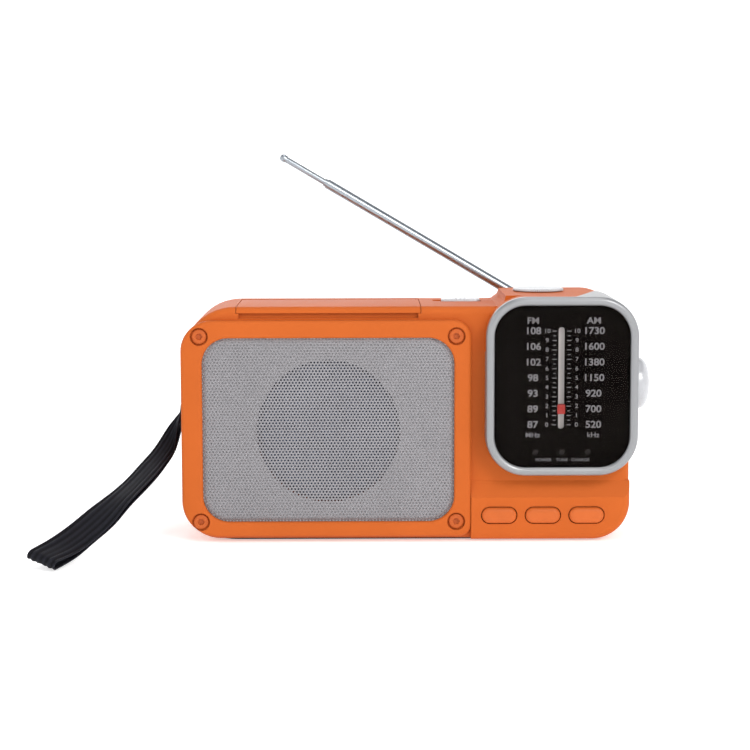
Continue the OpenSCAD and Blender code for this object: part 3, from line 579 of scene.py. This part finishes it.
points, faces = perforatedSheet(**grille)
sheet = makePiece("grilleSheet", points, faces, finishes["grille_mesh"], "housing",
                  ["speaker_grille"], 50, False)
cleaned(sheet.data)
print("grille sheet:", len(sheet.data.polygons), "faces")


# frame screws

headProfile = [(1.2, -17.2, 0), (1.2, -22.6, 0), (2.5, -22.62, 0), (2.6, -22.8, 0), (2.58, -23.25, 0),
               (2.4, -23.52, 0), (2.1, -23.62, 0), (1.5, -23.66, 0), (1.25, -23.62, 1), (1.15, -23.5, 1),
               (1.1, -22.75, 1), (0.3, -22.6, 0)]


def sixSided(angle):
    # radius of a regular hexagon against its corner circle, less one
    step = math.pi / 3
    return math.cos(math.pi / 6) / np.cos(angle % step - step / 2) - 1


heads = [turnedShape(headProfile, (x, z), frontPlace, 48, sixSided)
         for x in bezel["screwXs"] for z in bezel["screwZs"]]
points, faces = joined(heads)
makePiece("frameScrewHeads", points, faces, finishes["orange_screw"], "housing", ["frame_screws"])
print("screws done")


# dial case and print

dial = dict(low=(27.2, 23.8), high=(79.4, 85.2), corner=13.7, crest=-28.5, glass=-27.4, bodyTop=-25.4,
            face=-20.5, cheekEnd=6.0, cheekTop=65.9, cheekSide=72, slantFoot=56.5, slantEnd=68.5)


def caseShape(low, high, corner, crest, glass, bodyTop, face, cheekEnd, cheekTop, cheekSide, slantFoot, slantEnd):
    # a round-topped ring carried round the case; on the top the wall's rear edge follows the slanted parting,
    # which runs back 3 millimetres for each millimetre to the right of slantFoot
    base, out = roundedPath(*low, *high, corner, 20, 0.8)
    slant = np.clip((base[:, 0] - slantFoot) * 3 - 30, bodyTop, cheekEnd)
    rear = np.where(base[:, 1] > cheekTop, slant, np.where(base[:, 0] > cheekSide, cheekEnd, face))
    rear = np.where((base[:, 1] > cheekTop) & (base[:, 0] > slantEnd), cheekEnd, rear)
    front = [(2.92, glass), (2.9, -27.62), (2.72, -27.95), (2.4, -28.2), (2.0, -28.38), (1.5, crest),
             (1.0, -28.44), (0.55, -28.22), (0.2, -27.84), (0.04, -27.4), (0, -26.9)]
    profile = np.repeat(np.array(front + [(0, 0), (0.12, 0), (2.35, 0), (2.4, 0)])[None], len(base), 0)
    profile[:, 11, 1], profile[:, 12, 1], profile[:, 13, 1], profile[:, 14, 1] = rear - 0.12, rear, rear, glass + 0.02
    return rimShape((base, out), profile, frontPlace, True)


points, faces = caseShape(**dial)
makePiece("dialCase", points, faces, finishes["silver_case"], "housing", ["dial_case"])

scale = dict(
    plate=-25.24, figure=3.35, small=2.1, unit=2.4, bold=0.075, wide=1.1,
    fm=["108", "106", "102", "98", "93", "89", "87"], am=["1730", "1600", "1380", "1150", "920", "700", "520"],
    fmX=43.4, amX=64.2, topZ=73.4, lowZ=41.1, headZ=76.9, head=3.1, unitZ=37.5, tenX=(48.2, 58.4),
    tickX=(50.75, 55.75), tick=(1.5, 0.85, 0.26), wordZ=28.9,
    headBold=0.06, unitBold=0.03, fineBold=0.02,
    words=[("POWER", 47.2, 1.45), ("TUNE", 53.55, 1.45), ("CHARGE", 59.9, 1.45)])


def printed(text, x, z, size, bold):
    # a line of print as flat triangles in the plate's plane, centred on x and z
    curve = bpy.data.curves.new("line", "FONT")
    curve.body, curve.size, curve.align_x, curve.align_y, curve.offset = text, size, "CENTER", "CENTER", bold
    holder = bpy.data.objects.new("line", curve)
    scene.collection.objects.link(holder)
    flat = bpy.data.meshes.new_from_object(holder.evaluated_get(bpy.context.evaluated_depsgraph_get()))
    co = np.zeros(len(flat.vertices) * 3)
    flat.vertices.foreach_get("co", co)
    co = co.reshape(-1, 3)
    faces = [list(p.vertices) for p in flat.polygons]
    bpy.data.objects.remove(holder)
    bpy.data.meshes.remove(flat)
    return frontPlace(x + co[:, 0] * scale["wide"], z + co[:, 1], np.full(len(co), scale["plate"])), faces


def tickShapes(x, length, short, thick, count=21):
    # short bars across the scale, long on every second one
    z = np.linspace(scale["topZ"], scale["lowZ"], count)
    half = np.where(np.arange(count) % 2 == 0, length, short)[:, None] / 2
    a = x + half * np.array([-1, 1, 1, -1])
    b = z[:, None] + thick / 2 * np.array([-1, -1, 1, 1])
    points = frontPlace(a, b, np.full(a.shape, scale["plate"])).reshape(-1, 3)
    return points, np.arange(count * 4).reshape(-1, 4).tolist()


rowsZ = np.linspace(scale["topZ"], scale["lowZ"], 7)
lines = []
for names, x, unit in ((scale["fm"], scale["fmX"], ("FM", "MHz")), (scale["am"], scale["amX"], ("AM", "kHz"))):
    lines += [printed(name, x, z, scale["figure"], scale["bold"]) for name, z in zip(names, rowsZ)]
    lines += [printed(unit[0], x, scale["headZ"], scale["head"], scale["headBold"]),
              printed(unit[1], x, scale["unitZ"], scale["unit"], scale["unitBold"])]
lines += [printed(str(10 - k), x, z, scale["small"], scale["fineBold"]) for x in scale["tenX"]
          for k, z in enumerate(np.linspace(scale["topZ"], scale["lowZ"], 11))]
lines += [printed(word, x, scale["wordZ"], size, scale["fineBold"]) for word, x, size in scale["words"]]
lines += [tickShapes(x, *scale["tick"]) for x in scale["tickX"]]
points, faces = joined(lines)
makePiece("dialPrint", points, faces, dialInk, "housing", outward=False)
print("dial done")


# buttons

buttons = dict(xs=(32.2, 47.3, 62.4), z=9.3, size=(12.0, 5.5), names=("left", "middle", "right"))
capProfile = [(0.3, -21.0), (0, -21.3), (0, -23.35), (0.04, -23.65), (0.16, -23.95), (0.36, -24.22),
              (0.64, -24.44), (1.0, -24.6), (1.4, -24.68), (2.0, -24.7), (2.5, -24.7)]
w, h = buttons["size"]
for x, side in zip(buttons["xs"], buttons["names"]):
    path = roundedPath(x - w / 2, buttons["z"] - h / 2, x + w / 2, buttons["z"] + h / 2, h / 2 - 0.01, 14, 1.5)
    points, faces = rimShape(path, capProfile)
    makePiece(side + "Cap", points, faces, finishes["orange_button"], side + "_button_body",
              [side + "_button"])
print("buttons done")


# tuning knob, volume disc and band slider

knob = dict(centre=(-10.0, 53.8))
knobProfile = [(3.05, 79.5, 0), (3.05, 79.72, 0), (8.7, 79.74, 0), (8.95, 79.9, 0), (9.0, 80.2, 0), (9.0, 80.6, 0),
               (8.97, 81.2, 0), (8.88, 81.8, 0), (8.7, 82.4, 0), (8.35, 82.95, 0), (7.8, 83.45, 0), (7.0, 83.95, 0),
               (5.9, 84.4, 0), (4.6, 84.74, 0), (3.2, 84.95, 0), (1.8, 85.06, 0), (0.4, 85.1, 0)]
points, faces = turnedShape(knobProfile, knob["centre"], sidePlace, 128)
makePiece("tuningDial", points, faces, silverKnob, "tuning", ["tuning_knob"])

volume = dict(centre=(47.3, 2.0), ribs=72)


def fineRibs(angle):
    # a cosine round the rim, one wave to each rib
    return np.cos(angle * volume["ribs"])


discProfile = [(2.5, 78.7, 0), (2.5, 85.38, 0), (8.5, 85.4, 0), (8.75, 85.46, 0.012), (8.8, 85.6, 0.014),
               (8.8, 85.98, 0.014), (8.7, 86.16, 0.012), (8.4, 86.32, 0), (7.9, 86.38, 0), (7.4, 86.34, 0),
               (6.8, 86.22, 0), (4.5, 86.12, 0), (2.0, 86.1, 0), (0.3, 86.1, 0)]
points, faces = turnedShape(discProfile, volume["centre"], topPlace, 4 * volume["ribs"], fineRibs)
makePiece("volumeDisc", points, faces, silverKnob, "volume", ["volume_knob"])

band = dict(low=(13.1, 3.0), high=(26.9, 11.0), corner=2.1, ridges=(-1.6, 0.0, 1.6), middle=(20.0, 7.0),
            ridge=(0.3, 2.6))
sliderProfile = [(0.1, 81.32), (0, 81.4), (0, 81.95), (0.12, 82.14), (0.4, 82.24), (0.9, 82.26),
                 (1.6, 82.2), (2.0, 82.18)]
ridgeProfile = [(0.05, 82.1), (0, 82.2), (0.1, 82.45), (0.26, 82.52)]
shapes = [rimShape(roundedPath(*band["low"], *band["high"], band["corner"], 8, 2), sliderProfile, topPlace)]
x, y = band["middle"]
halfWide, halfLong = band["ridge"]
for shift in band["ridges"]:
    path = roundedPath(x + shift - halfWide, y - halfLong, x + shift + halfWide, y + halfLong, halfWide - 0.01, 5, 2)
    shapes.append(rimShape(path, ridgeProfile, topPlace))
points, faces = joined(shapes)
makePiece("bandSliderCap", points, faces, silverKnob, "band", ["band_slider"])
print("knobs done")


# wrist strap

strap = dict(
    upper=[(-77.6, 8.6, 46), (-79.6, 6.5, 41.5), (-84.6, -0.2, 36), (-88.5, -8, 30), (-92.4, -16, 25.7),
           (-96.2, -24, 21.8), (-100.4, -32, 18.6), (-106.7, -41.4, 14.8), (-113, -51.4, 10.6),
           (-118.4, -59.8, 7.4), (-122.8, -66.4, 5.2)],
    lower=[(-77.6, -2.2, 45.2), (-79.6, -3.2, 38.5), (-81.2, -7.8, 30), (-83.8, -16, 26), (-86.2, -24, 23.3),
           (-89.5, -32, 20.2), (-93.4, -40, 16.6), (-98, -47, 11.3), (-103.7, -53, 6.6), (-108.4, -61, 3.6),
           (-113.7, -69.6, 2)],
    apart=0.72, openTip=1.5, gauge=0.42, ribDepth=0.42, ribs=5, wrap=1.62, bar=(-75.0, 45.5),
    wrapFade=0.05, tipFade=0.12)


def smoothRun(stations, steps):
    # Catmull-Rom curve through the stations, steps points to each span
    p = np.array(stations, float)
    q = np.concatenate([p[:1], p, p[-1:]])
    t = (np.arange(steps) / steps)[None, :, None]
    a, b, c, d = (q[k:len(q) - 3 + k, None, :] for k in range(4))
    run = 0.5 * (2 * b + (c - a) * t + (2 * a - 5 * b + 4 * c - d) * t ** 2 + (3 * b - a - 3 * c + d) * t ** 3)
    return np.concatenate([run.reshape(-1, 3), p[-1:]])


def strapShape(upper, lower, apart, openTip, gauge, ribDepth, ribs, wrap, bar, wrapFade, tipFade):
    # the band's middle runs out from the bar, folds at the tip and comes back; thickness and ribs stand along its
    # normal, and the layers lie offset(s) = apart + (end value - apart) * exp(-(distance / fade)^2) from the middle
    top, low = smoothRun(upper, 7), smoothRun(lower, 7)
    ahead = np.gradient((top + low) / 2, axis=0)
    normal = np.cross(ahead, low - top)
    normal /= np.linalg.norm(normal, axis=1, keepdims=True)
    s = np.linspace(0, 1, len(top))[:, None]
    offset = (apart + (wrap - apart) * np.exp(-(s / wrapFade) ** 2)
              + (openTip - apart) * np.exp(-((1 - s) / tipFade) ** 2))
    sign = np.sign(normal[0, 2])
    layer = np.stack([top, low], 1)
    outwards = layer + (normal * offset)[:, None]
    back = (layer - (normal * offset)[:, None])[::-1]
    # round the tip: a half circle of radius openTip past the last station
    turn = np.linspace(0, math.pi, 11)[1:-1]
    tipAhead = ahead[-1] / np.linalg.norm(ahead[-1])
    bend = openTip * (np.cos(turn)[:, None] * normal[-1] + np.sin(turn)[:, None] * tipAhead)
    tip = layer[-1][None] + bend[:, None]
    turn = np.linspace(-math.pi / 2, math.pi / 2, 13) * sign
    ring = np.stack([bar[0] + wrap * np.cos(turn), np.zeros(13), bar[1] + wrap * np.sin(turn)], 1)
    ring = ring[:, None] + np.stack([np.zeros(2), layer[0, :, 1], np.zeros(2)], 1)[None]
    middle = np.concatenate([outwards, tip, back, ring])
    edgeA, edgeB = middle[:, 0], middle[:, 1]
    along = np.roll(middle.mean(1), -1, 0) - np.roll(middle.mean(1), 1, 0)
    up = np.cross(along, edgeB - edgeA)
    up /= np.linalg.norm(up, axis=1, keepdims=True)
    # cross-section: a flat oval, cos and sin of v raised to small powers, whose faces are ribbed lengthwise
    v = np.arange(64) * math.tau / 64
    share = 0.5 - 0.5 * np.sign(np.cos(v)) * np.abs(np.cos(v)) ** 0.55
    thick = gauge * np.sign(np.sin(v)) * np.abs(np.sin(v)) ** 0.45
    thick *= 1 - ribDepth + ribDepth * np.cos(share * math.tau * ribs)
    share3, thick3 = share[None, :, None], thick[None, :, None]
    points = edgeA[:, None] * (1 - share3) + edgeB[:, None] * share3 + up[:, None] * thick3
    length = np.linalg.norm(np.roll(middle.mean(1), -1, 0) - middle.mean(1), axis=1)
    return points * mm, share, np.concatenate([[0], np.cumsum(length)]) * mm


points, share, lengths = strapShape(**strap)
rows, columns = points.shape[:2]
faces = wrapGrid(rows, columns, True, True)
wristStrap = makePiece("wristStrap", points, faces, finishes["webbing"], "housing",
                       ["strap"], 80, False)
uv = wristStrap.data.uv_layers.new(name="weave")
cornerRow, cornerColumn = faces // columns, faces % columns
lastRow = (cornerRow == 0) & (faces.max(1, keepdims=True) >= (rows - 1) * columns)
u = lengths[np.where(lastRow, rows, cornerRow)] / lengths[-1]
uv.data.foreach_set("uv", np.stack([u, share[cornerColumn]], -1).astype(np.float32).ravel())
cleaned(wristStrap.data, False)
print("strap done, length", round(float(lengths[-1]), 4))


# floor, in metres

bowl = dict(flat=2.2, bend=0.6, height=2.4, below=0.00005, steps=96)


def bowlShape(flat, bend, height, below, steps):
    # a flat floor turned up all round through a quarter circle into a wall: radius and height are turned about z
    arc = np.linspace(0, math.pi / 2, 13)
    radius = np.concatenate([[0.02, 0.5, 1.2], flat + bend * np.sin(arc), [flat + bend]])
    level = np.concatenate([[0, 0, 0], bend - bend * np.cos(arc), [height]]) - below
    angle = np.arange(steps)[:, None] * math.tau / steps
    points = np.stack(np.broadcast_arrays(radius * np.cos(angle), radius * np.sin(angle), level), -1)
    rows, columns = points.shape[:2]
    faces = wrapGrid(rows, columns, True).tolist() + [(np.arange(rows) * columns).tolist()]
    return points.reshape(-1, 3), faces


points, faces = bowlShape(**bowl)
data = bpy.data.meshes.new("floor")
data.from_pydata(points.tolist(), [], faces)
data.polygons.foreach_set("use_smooth", np.ones(len(data.polygons), bool))
data.materials.append(floorFinish)
floor = bpy.data.objects.new("floor", data)
scene.collection.objects.link(floor)
